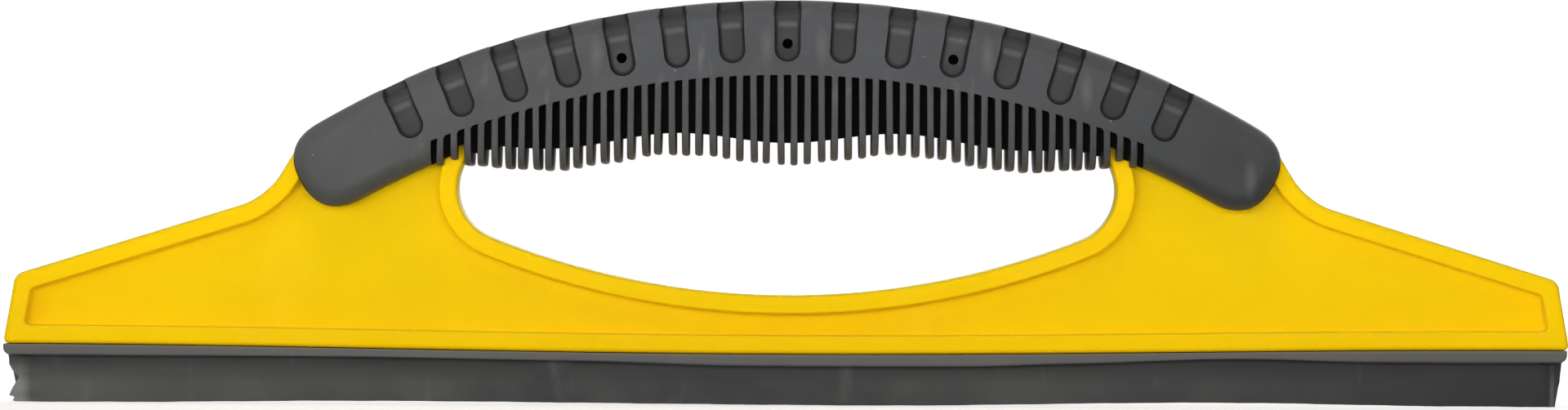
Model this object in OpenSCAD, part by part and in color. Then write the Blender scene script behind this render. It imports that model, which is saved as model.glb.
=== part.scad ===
// Hand squeegee for windscreens: a moulded frame with a hand opening, a soft
// grip moulded over its arch, and a rubber blade along its lower edge.
// +X runs along the blade, +Z up from the blade's edge, the front faces -Y.
// The origin is at mid length on the edge of the lip. Millimetres.

/* [Frame] */
// Length of the frame along the blade
frame_len = 301; // [270:1:340]
// Depth of the frame's rims, front to back
rim_depth = 12; // [10:0.5:15]
// Width of the rim along the edges and round the hand opening
rim_w = 3.6; // [3.2:0.1:4.5]
// Thickness of the web between the front and the rear recess
web_t = 2.6; // [2:0.1:4]
// Height of the end walls
end_h = 13.4; // [10:0.2:16]
// How far an end wall leans in at its top
end_lean = 2.3; // [0.5:0.1:4]
// Rounding at the top of an end wall
end_top_r = 2.5; // [1:0.1:4]
// Rounding at the foot of an end wall
end_low_r = 0.8; // [0.3:0.1:1.5]
// How much lower the bottom edge lies at mid length than at the ends
crown = 1.4; // [0.4:0.1:2]
// Shoulder's foot, outwards from the centre of the grip's end round
foot_out = 14.5; // [12:0.1:18]
// Shoulder's foot, down from the centre of the grip's end round
foot_drop = 7.15; // [5:0.05:9]
// Fillet at the shoulder's foot
foot_r = 13; // [8:0.5:18]
// Height of the heel, where the frame enters the grip, over that centre
heel_rise = 2.4; // [1:0.1:4]
// How far the heel stands proud of the grip's end round
heel_proud = 0.2; // [0:0.05:0.6]

/* [Hand opening] */
// Width of the hand opening
open_w = 125.4; // [110:0.2:132]
// Height of the lowest point of the opening over the frame's bottom edge
open_sill = 11.4; // [10:0.1:15]
// Radius of the opening's lower edge
open_low_r = 151; // [130:1:180]
// Radius of the opening's corners
open_corner_r = 10.2; // [8:0.1:12]
// Rise of the opening's upper edge, from its corners to mid length
open_rise = 2.15; // [1:0.05:4]

/* [Grip] */
// Height of the grip's top over the edge of the lip
grip_top = 77.9; // [75:0.1:84]
// Radius of the grip's top
arch_r = 182.5; // [170:0.5:200]
// Width of the grip in the frame's plane
grip_w = 17.2; // [15:0.1:20]
// Depth of the grip, front to back
grip_depth = 22; // [19:0.5:26]
// Angle from mid length to the centre of the grip's end round
grip_half_angle = 29.4; // [28:0.1:31]
// Rounding along the grip's edges
grip_edge_r = 3.5; // [2:0.1:5]
// Rubber over the top of the frame's arch
top_skin = 4; // [3:0.1:5]
// Number of windows in the arch's web that the grip is keyed through
key_count = 6; // [2:2:8]
// Width of one keying window along the arch
key_w = 7; // [4:0.5:9]
// Height of one keying window across the arch
key_h = 6; // [3:0.5:7]

/* [Pockets] */
// Number of thumb pockets along each face of the grip
pocket_count = 15; // [9:2:15]
// Angle between two pockets
pocket_pitch = 3.5; // [3:0.05:3.7]
// Width of a pocket
pocket_w = 5.2; // [3:0.1:7]
// Reach of a pocket down from the grip's top
pocket_len = 12; // [9:0.1:13]
// Depth of a pocket in the face
pocket_depth = 1.8; // [1:0.1:2.4]
// Depth below the top where a pocket's floor turns back to the spine
pocket_bend = 4; // [3:0.1:7]
// Width of the spine that is left whole along the top
spine_w = 10; // [4:0.2:13]
// Height of the spine over a pocket's slope
spine_h = 1.8; // [0.6:0.1:2.6]
// Radius of a locating hole in a pocket's floor
pin_hole_r = 1; // [0.6:0.05:1.5]
// Depth of a locating hole below the grip's top
pin_hole_drop = 8.7; // [8.6:0.1:9.5]
// Pockets from one locating hole to the next
pin_hole_step = 3; // [2:1:3]

/* [Comb] */
// Number of finger fins
fin_count = 52; // [32:2:52]
// Spacing of the fins
fin_pitch = 2.6; // [2.2:0.05:2.7]
// Thickness of a fin
fin_t = 1.5; // [1:0.1:1.8]
// Top of the slots between the fins, below the grip's top
slot_drop = 14.4; // [13.5:0.1:16]
// Radius of the line of slot tops
slot_r = 186; // [160:1:220]
// Rubber under the frame's arch at mid length, on average
under_skin = 2.7; // [2:0.1:4]
// Rubber on the front and rear of the frame's arch behind the slots
side_skin = 1; // [0.6:0.1:2]
// How far the fins hang below that rubber
fin_drop = 4.2; // [2.5:0.1:5]
// Rounding of a fin's lower corners
fin_round = 5; // [2:0.2:8]
// Half height of the finger wave along the fin tips
wave_h = 1.07; // [0:0.01:1.5]
// Length of one finger wave
wave_len = 44; // [36:1:52]
// Radius of the bow that the finger wave follows
wave_bow_r = 770; // [500:10:1200]
// Length of the arch whose underside is covered with rubber
skin_len = 123; // [100:1:126]

/* [Blade] */
// Free height of the lip at mid length
lip_h = 7.5; // [6:0.1:12]
// Thickness of the lip where it is fullest
lip_t = 2.6; // [2:0.1:3]
// Thickness of the lip's wiping edge
edge_t = 1; // [0.6:0.1:1.4]
// Height of the lip's fullest place over its edge
full_h = 6; // [4:0.1:6.4]
// Thickness of the lip's neck
neck_t = 1.2; // [0.8:0.1:1.4]
// Radius of the bead at the lip's root
bead_r = 1.4; // [1.2:0.05:1.5]
// Gap round the bead in its socket
bead_gap = 0.05; // [0.02:0.01:0.1]
// Least rubber round the socket
socket_wall = 0.45; // [0.3:0.05:0.6]
// Largest angle that the lip is laid over to either side
lip_swing = 25; // [15:1:28]
// Gap between the laid-over lip and the base's mouth
swing_gap = 0.3; // [0.2:0.05:0.5]
// How far the lip's end is set back from the frame's end
lip_inset = 1.8; // [1.2:0.1:4]
// How much shorter the lip is at its edge, at each end
lip_end_lean = 0.8; // [0:0.1:3]
// Gap between the lip's end and the base's end wall
lip_end_gap = 0.3; // [0.2:0.05:0.6]
// Height of the blade's base below the frame
base_h = 2.4; // [2:0.1:4]
// Rounding at the lower corners of the base's ends
base_end_r = 1.4; // [0.5:0.1:2]
// Width of the base's key in the frame
base_key_w = 6; // [5:0.1:7]
// Distance from the frame's end to the base's key
base_key_inset = 4; // [2.5:0.1:10]
// Rubber that closes the bead's socket at each end of the key
key_end_wall = 1; // [0.6:0.1:3]

/* [Hidden] */
$fn = 64;
// Fragments of the long arcs
arc_fn = 720;
// Steps along a bowed edge and round a corner
edge_steps = 24;
corner_steps = 8;
// Reach of a cutter past the face that it opens
past = 2;

frame_yellow = [0.97, 0.79, 0.03];
grip_grey = [0.33, 0.34, 0.35];
base_grey = [0.36, 0.36, 0.37];
lip_grey = [0.27, 0.27, 0.28];

half_len = frame_len / 2;
frame_low = lip_h + base_h;
frame_end_low = frame_low + crown;
recess = (rim_depth - web_t) / 2;

// The arch: its centre lies below the blade
arch_z = grip_top - arch_r;
grip_mid_r = arch_r - grip_w / 2;
core_r = arch_r - top_skin;
web_r = core_r - rim_w;
grip_end = [grip_mid_r * sin(grip_half_angle), arch_z + grip_mid_r * cos(grip_half_angle)];
foot = [grip_end.x + foot_out, grip_end.y - foot_drop];
heel = [grip_end.x + grip_w / 2 + heel_proud, grip_end.y + heel_rise];
heel_r = 0.6;
// Step in from the grip's bar to its end rounds, at the parting line
end_step = 0.02;
// Least rounding in a corner of the recesses
recess_r = 0.8;
// Web that is left between the keying windows and the arch's rim
key_edge = 0.8;

// The hand opening is four arcs that run into each other
open_low = frame_low + open_sill;
open_corner_x = open_w / 2 - open_corner_r;
open_low_z = open_low + open_low_r;
open_corner_z = open_low_z - sqrt(pow(open_low_r - open_corner_r, 2) - pow(open_corner_x, 2));
open_corner_to_top = open_corner_r + open_rise;
open_top = open_corner_z + open_corner_to_top;
open_top_r = (pow(open_corner_to_top, 2) + pow(open_corner_x, 2) - pow(open_corner_r, 2)) / (2 * open_rise);

// The comb of finger fins
comb_half = fin_count * fin_pitch / 2 + (fin_pitch - fin_t) / 2;
slot_top = grip_top - slot_drop;
wave_mid = open_top - under_skin - fin_drop;

// The lip's bead lies in a socket of the base
socket_r = bead_r + bead_gap;
bead_z = lip_h + crown + socket_wall + socket_r;
base_key_low = frame_low - base_h / 2;
base_key_top = bead_z + socket_r + socket_wall;
socket_half = half_len - base_key_inset - key_end_wall;
bead_half = socket_half - lip_end_gap;
lip_half = half_len - lip_inset;
mouth_half = lip_half + lip_end_gap;
// The neck ends in the base's mouth and widens from there to the lip's fullest place
neck_in = 0.5;
neck_low = lip_h + neck_in;
// Past the bead's ends the neck stops short of the bead's middle
neck_end_top = bead_z - neck_t / 2 - lip_end_gap;

// Height of a bowed edge over its height at mid length
function bow(x) = crown * pow(x / half_len, 2);

function unit(v) = v / norm(v);
function flat(p) = [p.x, p.y];
function reversed(pts) = [for (i = [len(pts) - 1 : -1 : 0]) pts[i]];
function mirrored(pts) = [for (p = reversed(pts)) [-p.x, p.y, p.z]];
function both_sides(pts) = [for (p = concat(pts, mirrored(pts))) flat(p)];

// Points of an arc round c from angle a to angle b
function arc(c, r, a, b, steps) =
    [for (i = [0 : steps]) c + r * [cos(a + (b - a) * i / steps), sin(a + (b - a) * i / steps)]];

// The corner b between a and c, rounded to the radius r
function corner(a, b, c, r) =
    let (u = unit(a - b), v = unit(c - b))
    let (half = acos(u * v) / 2)
    let (mid = b + unit(u + v) * r / sin(half))
    let (from = b + u * r / tan(half) - mid)
    let (sweep = (180 - 2 * half) * sign(cross(-u, v)))
    let (start = atan2(from.y, from.x))
    arc(mid, r, start, start + sweep, corner_steps);

// An outline of [x, z, radius] corners as plain points
function rounded(pts) =
    let (n = len(pts))
    [for (i = [0 : n - 1])
        let (a = pts[(i + n - 1) % n], b = pts[i], c = pts[(i + 1) % n])
        each b.z > 0 ? corner(flat(a), flat(b), flat(c), b.z) : [flat(b)]];

// The same outline drawn in by d on every side
function inset(pts, d) =
    let (n = len(pts))
    [for (i = [0 : n - 1])
        let (a = flat(pts[(i + n - 1) % n]), b = flat(pts[i]), c = flat(pts[(i + 1) % n]))
        let (u = unit(b - a), v = unit(c - b))
        let (p = [-u.y, u.x], q = [-v.y, v.x])
        let (moved = b + d * (p + q) / (1 + p * q))
        let (r = pts[i].z)
        [moved.x, moved.y, r == 0 ? 0 : cross(u, v) > 0 ? max(r - d, recess_r) : r + d]];

// The bowed bottom edge from end to end, z0 high at mid length
function bottom_edge(z0, end_r) =
    [for (i = [0 : edge_steps])
        let (x = half_len * (2 * i / edge_steps - 1))
        [x, z0 + bow(x), i % edge_steps == 0 ? end_r : 0]];

// Corners of the frame's body, from the bottom edge round to the heels
body_side = [
    [half_len - end_lean, frame_end_low + end_h, end_top_r],
    [foot.x, foot.y, foot_r],
    [heel.x, heel.y, heel_r]
];
body_corners = concat(bottom_edge(frame_low, end_low_r), body_side, mirrored(body_side));

// The hand opening, grown by g on every side
function opening(g) =
    let (low_c = [0, open_low_z], top_c = [0, open_top - open_top_r])
    let (right_c = [open_corner_x, open_corner_z], left_c = [-open_corner_x, open_corner_z])
    let (low_a = atan2(open_corner_z - open_low_z, open_corner_x))
    let (top_a = atan2(open_corner_z - top_c.y, open_corner_x))
    concat(
        arc(low_c, open_low_r + g, -180 - low_a, low_a, edge_steps),
        arc(right_c, open_corner_r + g, low_a, top_a, corner_steps * 2),
        arc(top_c, open_top_r + g, top_a, 180 - top_a, edge_steps),
        arc(left_c, open_corner_r + g, 180 - top_a, 180 - low_a, corner_steps * 2)
    );

// Height of the fin tips, a finger wave on a shallow bow, above the grip's lower edge
function wave(x) = wave_mid - wave_h * cos(360 * x / wave_len) - x * x / (2 * wave_bow_r);
function grip_low(x) = arch_z + sqrt(pow(arch_r - grip_w, 2) - x * x);
function slot_line(x) = slot_top - slot_r + sqrt(slot_r * slot_r - x * x);
function fin_tip(x) = abs(x) > skin_len / 2 ? max(wave(x), grip_low(x)) : wave(x);

// A shape in the frame's plane, given depth about the middle plane
module plate(depth) {
    rotate([90, 0, 0]) linear_extrude(depth, center = true) children();
}

// A front-to-back section, given length about mid length
module along(length) {
    rotate([90, 0, 90]) linear_extrude(length, center = true) children();
}

// A place on the arch: the angle from mid length, and the radius
module on_arch(angle, r) {
    translate([0, 0, arch_z]) rotate([0, angle, 0]) translate([0, 0, r]) children();
}

// What lies inside the radius r of the arch, between the heels
module arch_segment(r, margin) {
    intersection() {
        translate([0, arch_z]) circle(r, $fn = arc_fn);
        translate([-heel.x + margin, grip_end.y - margin])
            square([2 * (heel.x - margin), grip_top]);
    }
}

module frame_outline() {
    difference() {
        union() {
            polygon(rounded(body_corners));
            arch_segment(core_r, heel_r);
        }
        polygon(opening(0));
    }
}

module recess_outline() {
    difference() {
        union() {
            polygon(rounded(inset(body_corners, rim_w)));
            arch_segment(web_r, rim_w);
        }
        polygon(opening(rim_w));
    }
}

// The base's key in the frame's bottom rim, which starts inside the strip
module base_key() {
    key_len = frame_len - 2 * base_key_inset;
    translate([-key_len / 2, -base_key_w / 2, base_key_low])
        cube([key_len, base_key_w, base_key_top - base_key_low]);
}

// Windows in the arch's web that the grip is keyed through
module keying_windows() {
    key_step = 2 * grip_half_angle / key_count;
    for (i = [0 : key_count - 1])
        on_arch((i - (key_count - 1) / 2) * key_step, web_r - key_edge - key_h / 2)
            cube([key_w, web_t + past, key_h], center = true);
}

module frame() {
    color(frame_yellow)
        difference() {
            plate(rim_depth) frame_outline();
            for (side = [-1, 1])
                translate([0, side * (web_t / 2 + recess), 0])
                    plate(2 * recess) recess_outline();
            keying_windows();
            base_key();
        }
}

// Half of the grip's section, outwards from the middle of its width, drawn in by less
module grip_half_section(less) {
    flat_w = grip_w / 2 - grip_edge_r;
    flat_d = grip_depth - 2 * grip_edge_r;
    translate([0, less - grip_depth / 2]) square([flat_w, grip_depth - 2 * less]);
    translate([0, -flat_d / 2]) square([grip_w / 2 - less, flat_d]);
    for (side = [-1, 1])
        translate([flat_w, side * flat_d / 2]) circle(grip_edge_r - less);
}

// The arched bar of the grip with its round ends
module grip_bar() {
    on_arch(0, 0)
        rotate([90, 0, 0])
            rotate_extrude(angle = 2 * grip_half_angle, start = 90 - grip_half_angle, $fn = arc_fn)
                translate([grip_mid_r, 0])
                    for (side = [0, 1])
                        mirror([side, 0]) grip_half_section(0);
    for (side = [-1, 1])
        on_arch(side * grip_half_angle, grip_mid_r)
            rotate([90, 0, 0]) rotate_extrude() grip_half_section(end_step);
}

// The space below the slot tops, which only fins and the underside's rubber enter
module comb_space() {
    plate(grip_depth + past)
        intersection() {
            translate([0, slot_top - slot_r]) circle(slot_r, $fn = arc_fn);
            translate([-comb_half, 0]) square([2 * comb_half, grip_top]);
        }
}

// Rubber over the underside of the arch, behind the slots
module underside() {
    steps = 2 * edge_steps;
    low = [for (i = [0 : steps])
        let (x = skin_len * (i / steps - 0.5))
        [x, wave(x) + fin_drop]];
    high = [for (i = [steps : -1 : 0])
        let (x = skin_len * (i / steps - 0.5))
        [x, slot_line(x) + past]];
    plate(rim_depth + 2 * side_skin) polygon(concat(low, high));
}

// One fin: a plate across the grip with round lower corners
module fin(x) {
    tip = fin_tip(x);
    height = slot_line(x) + past - tip;
    translate([x, 0, tip])
        along(fin_t) {
            translate([-grip_depth / 2, fin_round]) square([grip_depth, height - fin_round]);
            translate([-grip_depth / 2 + fin_round, 0]) square([grip_depth - 2 * fin_round, height]);
            for (side = [-1, 1])
                translate([side * (grip_depth / 2 - fin_round), fin_round]) circle(fin_round);
        }
}

// One pocket on the front face: a round-ended slot whose floor turns back to the spine
module pocket() {
    floor_y = grip_depth / 2 - pocket_depth;
    intersection() {
        plate(2 * grip_depth) {
            translate([-pocket_w / 2, -pocket_len + pocket_w / 2])
                square([pocket_w, pocket_len + past]);
            translate([0, -pocket_len + pocket_w / 2]) circle(pocket_w / 2);
        }
        along(2 * pocket_w)
            polygon([
                [-grip_depth / 2 - past, -pocket_len - past],
                [-floor_y, -pocket_len - past],
                [-floor_y, -pocket_bend],
                [-spine_w / 2, -spine_h],
                [-spine_w / 2, past],
                [-grip_depth / 2 - past, past]
            ]);
    }
}

// Pockets and locating holes of one face
module face_cuts() {
    last = (pocket_count - 1) / 2;
    for (i = [-last : last]) {
        on_arch(i * pocket_pitch, arch_r) pocket();
        if (i % pin_hole_step == 0 && abs(i) <= pin_hole_step)
            on_arch(i * pocket_pitch, arch_r - pin_hole_drop)
                translate([0, -web_t / 2, 0]) rotate([90, 0, 0]) cylinder(h = grip_depth, r = pin_hole_r);
    }
}

module grip() {
    color(grip_grey)
        difference() {
            union() {
                difference() {
                    grip_bar();
                    comb_space();
                }
                underside();
                for (i = [0 : fin_count - 1])
                    fin((i - (fin_count - 1) / 2) * fin_pitch);
            }
            frame();
            face_cuts();
            mirror([0, 1, 0]) face_cuts();
        }
}

// Where a point of the lip's side goes, from the bead's middle, when the lip is laid over
function laid_over(half_t, drop) =
    [half_t * cos(lip_swing) + drop * sin(lip_swing), half_t * sin(lip_swing) - drop * cos(lip_swing)];

// The mouth of the base's socket, clear of the lip laid over to either side
module mouth() {
    waist = laid_over(neck_t / 2, bead_z - neck_low);
    full = laid_over(lip_t / 2, bead_z - full_h);
    side = [
        [neck_t / 2 / cos(lip_swing) + bead_gap, 0],
        [waist.x + swing_gap, waist.y],
        [full.x + swing_gap, full.y],
        [full.x + swing_gap, -bead_z]
    ];
    translate([0, bead_z]) polygon(both_sides(side));
}

module blade_base() {
    strip = concat(bottom_edge(lip_h, base_end_r), reversed(bottom_edge(frame_low, 0)));
    color(base_grey)
        difference() {
            union() {
                plate(rim_depth) polygon(rounded(strip));
                base_key();
            }
            along(2 * socket_half) translate([0, bead_z]) circle(socket_r);
            along(2 * mouth_half) mouth();
        }
}

module blade_lip() {
    side = [
        [neck_t / 2, bead_z],
        [neck_t / 2, neck_low],
        [lip_t / 2, full_h],
        [edge_t / 2, 0]
    ];
    end = [
        [lip_half - lip_end_lean, 0],
        [lip_half, lip_h],
        [lip_half, neck_end_top],
        [bead_half, neck_end_top],
        [bead_half, base_key_top]
    ];
    color(lip_grey)
        intersection() {
            union() {
                along(2 * bead_half) translate([0, bead_z]) circle(bead_r);
                along(frame_len) polygon(both_sides(side));
            }
            plate(2 * rim_depth) polygon(both_sides(end));
        }
}

frame();
grip();
blade_base();
blade_lip();
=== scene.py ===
import math

import bmesh
import bpy
from mathutils import Matrix, Vector
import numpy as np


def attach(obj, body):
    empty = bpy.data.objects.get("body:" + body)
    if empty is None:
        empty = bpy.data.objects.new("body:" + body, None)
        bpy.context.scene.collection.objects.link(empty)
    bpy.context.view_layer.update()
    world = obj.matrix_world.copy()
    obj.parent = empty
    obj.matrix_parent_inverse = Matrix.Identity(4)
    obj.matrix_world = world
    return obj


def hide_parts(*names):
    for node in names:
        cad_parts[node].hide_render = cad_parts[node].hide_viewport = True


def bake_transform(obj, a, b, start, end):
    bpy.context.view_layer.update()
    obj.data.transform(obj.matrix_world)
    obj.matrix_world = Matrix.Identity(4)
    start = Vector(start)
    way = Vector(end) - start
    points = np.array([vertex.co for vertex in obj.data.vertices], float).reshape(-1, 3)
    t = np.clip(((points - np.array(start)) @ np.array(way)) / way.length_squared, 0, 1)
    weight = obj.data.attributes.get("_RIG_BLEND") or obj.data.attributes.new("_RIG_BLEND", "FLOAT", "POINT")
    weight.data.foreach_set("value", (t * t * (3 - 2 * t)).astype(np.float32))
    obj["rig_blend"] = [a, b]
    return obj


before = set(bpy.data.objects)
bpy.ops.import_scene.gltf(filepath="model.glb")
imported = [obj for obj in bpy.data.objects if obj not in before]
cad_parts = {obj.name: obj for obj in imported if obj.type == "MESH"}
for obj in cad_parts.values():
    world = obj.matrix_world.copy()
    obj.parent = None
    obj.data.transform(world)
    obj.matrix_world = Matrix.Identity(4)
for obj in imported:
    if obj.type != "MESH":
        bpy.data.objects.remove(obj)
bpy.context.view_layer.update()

# Sizes in millimetres, as in the part's source
MM = 0.001
HALF_LEN = 150.5
CROWN = 1.4
RIM_DEPTH = 12.0
RIM_W = 3.6
WEB_T = 2.6
END_H = 13.4
END_LEAN = 2.3
END_TOP_R = 2.5
FOOT_OUT = 14.5
FOOT_DROP = 7.15
FOOT_R = 13.0
HEEL_PROUD = 0.2
HEEL_RISE = 2.4
HEEL_R = 0.6
OPEN_W = 125.4
OPEN_SILL = 11.4
OPEN_LOW_R = 151.0
OPEN_CORNER_R = 10.2
OPEN_RISE = 2.15
GRIP_TOP = 77.9
ARCH_R = 182.5
GRIP_W = 17.2
GRIP_DEPTH = 22.0
GRIP_ANGLE = math.radians(29.4)
GRIP_EDGE_R = 3.5
TOP_SKIN = 4.0
POCKET_PITCH = math.radians(3.5)
POCKET_W = 5.2
POCKET_LEN = 12.0
POCKET_DEPTH = 1.8
POCKET_BEND = 4.0
SPINE_W = 10.0
SPINE_H = 1.8
PIN_HOLE_R = 1.0
FIN_COUNT = 52
FIN_PITCH = 2.6
FIN_DROP = 4.2
FIN_ROUND = 5.0
COMB_HALF = 68.15
SLOT_DROP = 14.4
SLOT_LINE_R = 186.0
WAVE_H = 1.07
WAVE_LEN = 44.0
WAVE_BOW_R = 770.0
LIP_H = 7.5
LIP_INSET = 1.8
BASE_H = 2.4
BEAD_Z = 10.8

# Sizes that differ a little from the part's, as the photo shows them
END_LOW_R = 1.1
RECESS_CORNER_R = 0.9
OPEN_SPREAD = 1.009
OUTER_POCKET_LEN = 11.3
PIN_HOLE_DROP = 8.4
FIN_T = 1.36
WAVE_MID = 47.5

# Places that follow from the sizes
FRAME_LOW = LIP_H + BASE_H
RIM_FACE_Y = -RIM_DEPTH / 2
WEB_FACE_Y = -WEB_T / 2
GRIP_FACE_Y = -GRIP_DEPTH / 2
POCKET_FLOOR_Y = GRIP_FACE_Y + POCKET_DEPTH
ARCH_Z = GRIP_TOP - ARCH_R
CORE_R = ARCH_R - TOP_SKIN
MID_R = ARCH_R - GRIP_W / 2
LOBE_X = MID_R * math.sin(GRIP_ANGLE)
LOBE_Z = ARCH_Z + MID_R * math.cos(GRIP_ANGLE)
LIP_HALF = HALF_LEN - LIP_INSET


def bow(x):
    """Rise of the blade's edges towards the ends."""
    return CROWN * (1 - math.cos(math.pi * x / HALF_LEN)) / 2


def slot_line(x):
    """Height of the tops of the slots between the fins."""
    return GRIP_TOP - SLOT_DROP - SLOT_LINE_R + math.sqrt(SLOT_LINE_R ** 2 - x * x)


def finger_wave(x):
    """Height of the fins' tips."""
    return WAVE_MID - WAVE_H * math.cos(2 * math.pi * x / WAVE_LEN) - x * x / (2 * WAVE_BOW_R)


def grip_underside(x):
    return ARCH_Z + math.sqrt((ARCH_R - GRIP_W) ** 2 - x * x)


def ripple(x, seed):
    """A repeatable unevenness between -1 and 1."""
    slow = 0.5 * math.sin(0.37 * x + seed)
    quicker = 0.3 * math.sin(0.91 * x + 2.3 * seed)
    quick = 0.2 * math.sin(2.3 * x + seed)
    return slow + quicker + quick


def along_points(points, x):
    """Height at x of a smooth line through a few points."""
    for (x0, z0), (x1, z1) in zip(points, points[1:]):
        if x <= x1:
            share = min(1, max(0, (x - x0) / (x1 - x0)))
            return z0 + (z1 - z0) * (1 - math.cos(math.pi * share)) / 2
    return points[-1][1]


# Mesh steps that several pieces share


def all_geometry(bm):
    return bm.verts[:] + bm.edges[:] + bm.faces[:]


def soften(bm, edges, offset, segments):
    bmesh.ops.bevel(bm, geom=edges, offset=offset, offset_type="OFFSET", segments=segments, profile=0.5,
                    affect="EDGES", material=-1, clamp_overlap=True)


def round_off(bm, vert, reach, segments):
    """Rounds a corner of a flat outline, from a reach along its two edges."""
    bmesh.ops.bevel(bm, geom=[vert], offset=reach, offset_type="OFFSET", segments=segments, profile=0.5,
                    affect="VERTICES", material=-1, clamp_overlap=False)


def round_corner(bm, vert, radius, segments):
    """Rounds a corner of a flat outline to a radius."""
    a, b = (edge.other_vert(vert).co - vert.co for edge in vert.link_edges)
    round_off(bm, vert, radius / math.tan(a.angle(b) / 2), segments)


def nearest(verts, x, z):
    return min(verts, key=lambda v: (v.co.x - x) ** 2 + (v.co.z - z) ** 2)


def cut_edge(bm, face, a, b, cuts):
    """Subdivides a face's edge between the corners at a and b, and gives the new points."""
    edge = bm.edges.get((nearest(face.verts, *a), nearest(face.verts, *b)))
    cut = bmesh.ops.subdivide_edges(bm, edges=[edge], cuts=cuts)
    return [g for g in cut["geom_inner"] if isinstance(g, bmesh.types.BMVert)]


def cut_across(bm, cuts):
    """Divides the long edges of a bar as long as the blade, so that it can wave."""
    long_edges = [e for e in bm.edges if abs(e.verts[0].co.x - e.verts[1].co.x) > HALF_LEN]
    bmesh.ops.subdivide_edges(bm, edges=long_edges, cuts=cuts, use_grid_fill=True)


def pull(bm, faces, offset):
    """Extrudes faces by an offset: a free sheet into a closed solid, faces of a solid onwards."""
    free = all(near in faces for face in faces for edge in face.edges for near in edge.link_faces)
    made = bmesh.ops.extrude_face_region(bm, geom=faces)
    verts = [g for g in made["geom"] if isinstance(g, bmesh.types.BMVert)]
    if not free:
        bmesh.ops.delete(bm, geom=faces, context="FACES")
    bmesh.ops.translate(bm, vec=offset, verts=verts)
    return verts


def clean(bm):
    bmesh.ops.remove_doubles(bm, verts=bm.verts, dist=0.002)
    bmesh.ops.recalc_face_normals(bm, faces=bm.faces)


def to_mesh(bm, name):
    mesh = bpy.data.meshes.new(name)
    bm.to_mesh(mesh)
    return mesh


def take_in(bm, part):
    """Adds a part to the mesh, and frees the part."""
    mesh = to_mesh(part, "part")
    part.free()
    bm.from_mesh(mesh)
    bpy.data.meshes.remove(mesh)


def add_copies(bm, mesh, places):
    """Adds a copy of a mesh at each place."""
    for place in places:
        known = len(bm.verts)
        bm.from_mesh(mesh)
        bm.verts.ensure_lookup_table()
        bmesh.ops.transform(bm, matrix=place, verts=bm.verts[known:])


def carve(bm, cutter):
    """Takes the cutter's solids out of the mesh."""
    pair = []
    for name, part in (("carved", bm), ("cutter", cutter)):
        clean(part)
        obj = bpy.data.objects.new(name, to_mesh(part, name))
        bpy.context.scene.collection.objects.link(obj)
        pair.append(obj)
    carved, tool = pair
    cut = carved.modifiers.new("cut", "BOOLEAN")
    cut.operation = "DIFFERENCE"
    cut.solver = "EXACT"
    cut.object = tool
    shaped = bpy.data.meshes.new_from_object(carved.evaluated_get(bpy.context.evaluated_depsgraph_get()))
    bm.clear()
    bm.from_mesh(shaped)
    cutter.free()
    for obj in pair:
        mesh = obj.data
        bpy.data.objects.remove(obj)
        bpy.data.meshes.remove(mesh)
    bpy.data.meshes.remove(shaped)


def finish_piece(bm, name, node, body, material):
    """Makes an object of a mesh, in metres, that stands for a node of the frame."""
    bmesh.ops.scale(bm, vec=(MM, MM, MM), verts=bm.verts)
    mesh = to_mesh(bm, name)
    bm.free()
    mesh.shade_smooth()
    mesh.set_sharp_from_angle(angle=math.radians(38))
    mesh.materials.append(material)
    obj = bpy.data.objects.new(name, mesh)
    bpy.context.scene.collection.objects.link(obj)
    flat = obj.modifiers.new("flat faces", "WEIGHTED_NORMAL")
    flat.weight = 90
    flat.keep_sharp = True
    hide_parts(node)
    if body:
        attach(obj, body)
    return obj


# The frame

RIM_DRAFT = 0.12
RECESS_DRAFT = 0.05
WEB_MARGIN = 1.2
BODY_EDGE_R = 1.0
OPEN_EDGE_R = 0.8
RECESS_EDGE_R = 0.5
RECESS_FILLET_R = 0.3
# Where the arch starts inside the grip
CORE_FOOT_X = 90.4
# Outlines from the parting line over the rim, down into the recess and on to the web, as depth and inset
LOOPS = [(0, 0), (RIM_FACE_Y, RIM_DRAFT), (RIM_FACE_Y, RIM_W), (WEB_FACE_Y, RIM_W + RECESS_DRAFT),
         (WEB_FACE_Y, RIM_W + WEB_MARGIN)]
# Number that tags the first outline of the body and of the hand opening
BODY_TAG = 1
OPEN_TAG = 11
# Where the opening's upper edge starts to lie in the dark among the fins, and how soon it does fully
FIN_DARK_LOW = 47.6
FIN_DARK_H = 2.6


def inset_radius(radius, inset):
    """Radius of a corner on an outline that is drawn in: the hollow foot's grows, the others shrink."""
    if not inset:
        return radius
    return radius + inset if radius == FOOT_R else max(radius - inset, RECESS_CORNER_R)


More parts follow.
